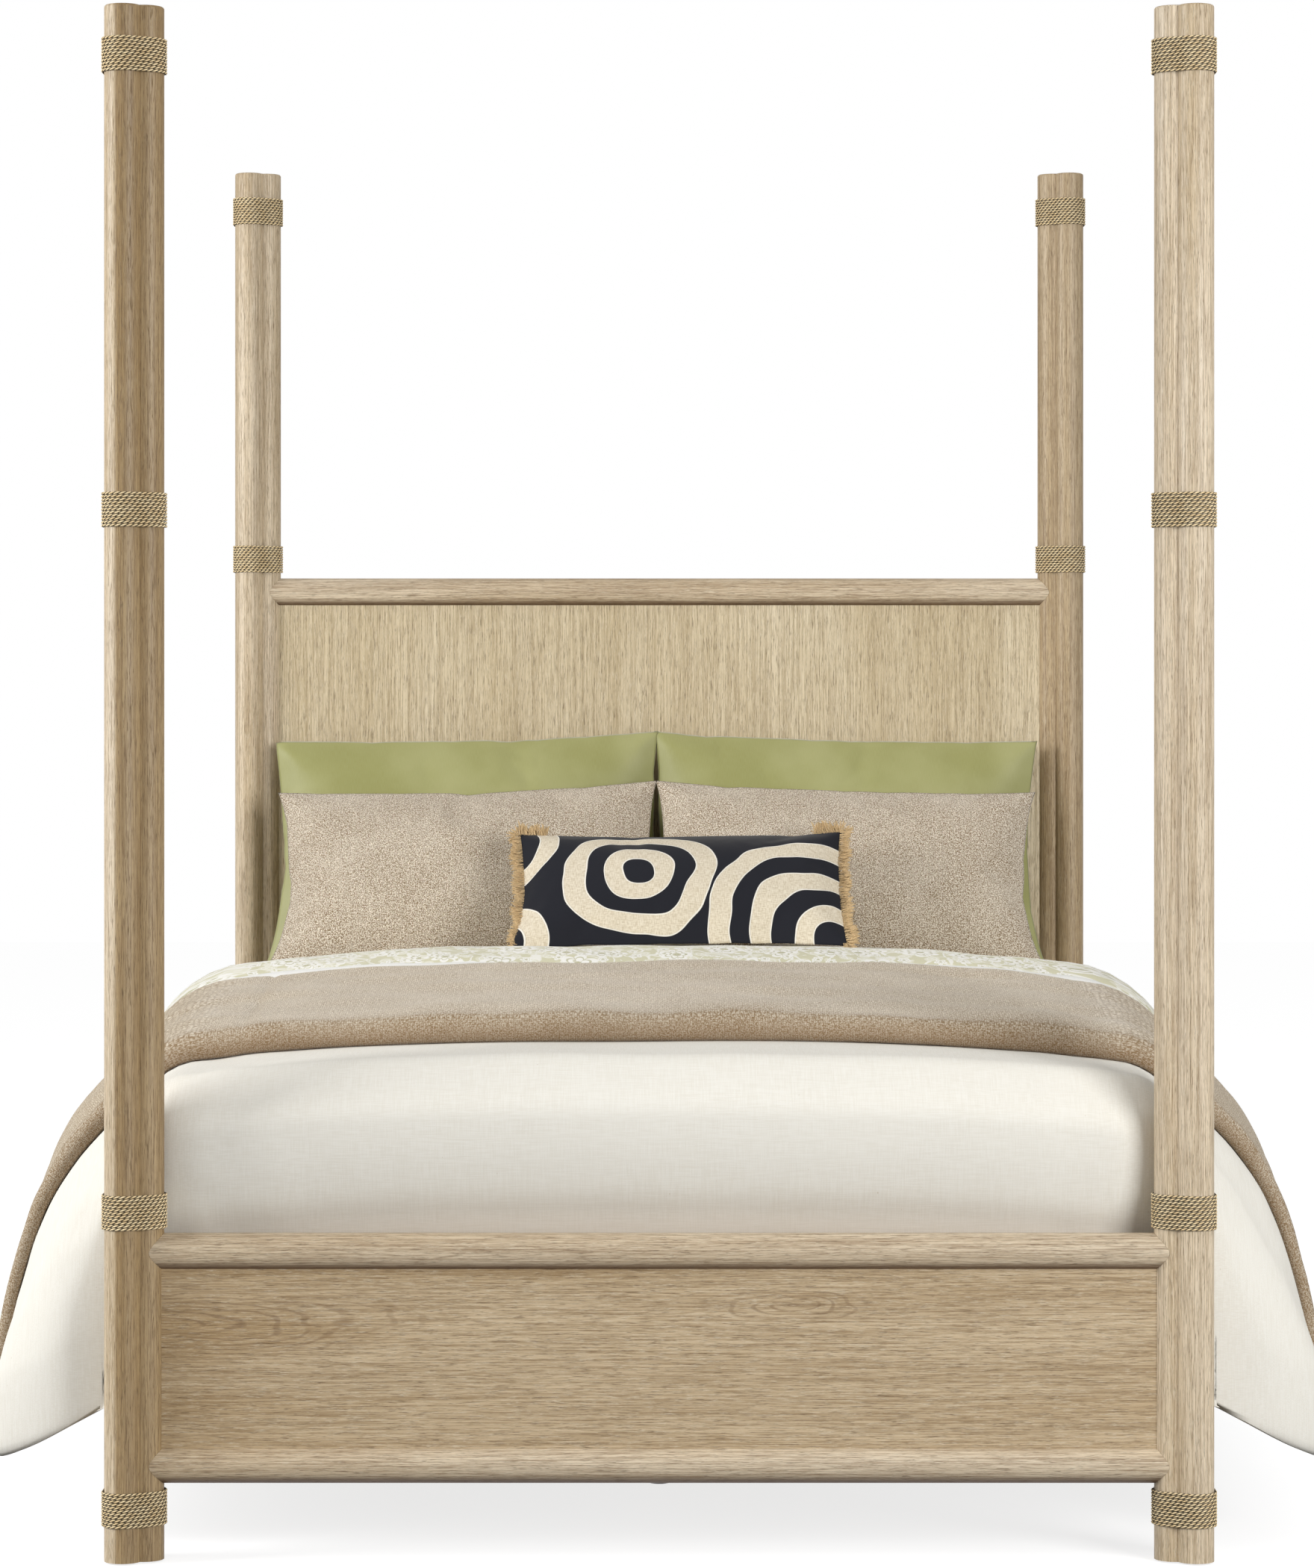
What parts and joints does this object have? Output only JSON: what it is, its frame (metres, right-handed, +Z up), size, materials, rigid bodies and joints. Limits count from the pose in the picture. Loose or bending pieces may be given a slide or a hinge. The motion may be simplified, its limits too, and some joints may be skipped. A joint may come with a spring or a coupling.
{
  "type": "poster bed",
  "caption": "Poster bed with clustered pole posts bound in rope, panelled headboard and footboard between round rails, slatted base, mattress, draped bedding and pillows.",
  "frame": {"origin": "on the floor at the middle of the bed's box", "axes": "+X across the bed, to the right as seen from the foot end; +Y along the bed towards the headboard; +Z up"},
  "size_m": [2.163, 2.2119, 2.337],
  "materials": {
    "oak": "light oak with a limed, brushed grain",
    "panel_oak": "light oak with a limed, brushed grain",
    "rope": "laid natural fibre rope",
    "steel": "zinc plated",
    "nylon": "matt",
    "pine": "planed, unfinished",
    "strap": "woven webbing",
    "ticking": "woven ticking",
    "duvet_linen": "soft cream linen",
    "coverlet_linen": "coarse tan linen",
    "white_cotton": "plain white cotton",
    "floral_cotton": "quilted cotton with a pale floral print",
    "green_sateen": "green sateen",
    "tan_tweed": "coarse tan basket weave",
    "lumbar_cloth": "cream and black woven cloth",
    "fringe": "cut brush fringe"
  },
  "bodies": {
    "root": {"post_foot_left": "oak", "post_foot_right": "oak", "post_head_left": "oak", "post_head_right": "oak", "footboard_top_rail": "oak", "footboard_bottom_rail": "oak", "headboard_top_rail": "oak", "headboard_bottom_rail": "oak", "side_rail_left": "oak", "side_rail_right": "oak", "footboard_panel": "panel_oak", "headboard_panel": "panel_oak", "lashings_foot_left": "rope", "lashings_foot_right": "rope", "lashings_head_left": "rope", "lashings_head_right": "rope", "ledger_left": "pine", "ledger_right": "pine", "center_beam": "pine", "center_leg_foot": "pine", "center_leg_middle": "pine", "center_leg_head": "pine", "ledger_screws": "steel", "rail_hook_plates": "steel", "post_slot_plates": "steel", "post_glides": "nylon", "leg_glides": "nylon", "slat_straps": "strap", "slat_01": "pine", "slat_02": "pine", "slat_03": "pine", "slat_04": "pine", "slat_05": "pine", "slat_06": "pine", "slat_07": "pine", "slat_08": "pine", "slat_09": "pine", "slat_10": "pine", "slat_11": "pine", "slat_12": "pine", "slat_13": "pine", "foundation": "ticking", "mattress": "ticking", "duvet": "duvet_linen", "coverlet": "coverlet_linen", "sheet_border": "white_cotton", "floral_quilt": "floral_cotton", "green_pillow_left": "green_sateen", "green_pillow_right": "green_sateen", "tan_pillow_left": "tan_tweed", "tan_pillow_right": "tan_tweed", "lumbar_cushion": "lumbar_cloth", "lumbar_fringe": "fringe"}
  },
  "joints": []
}
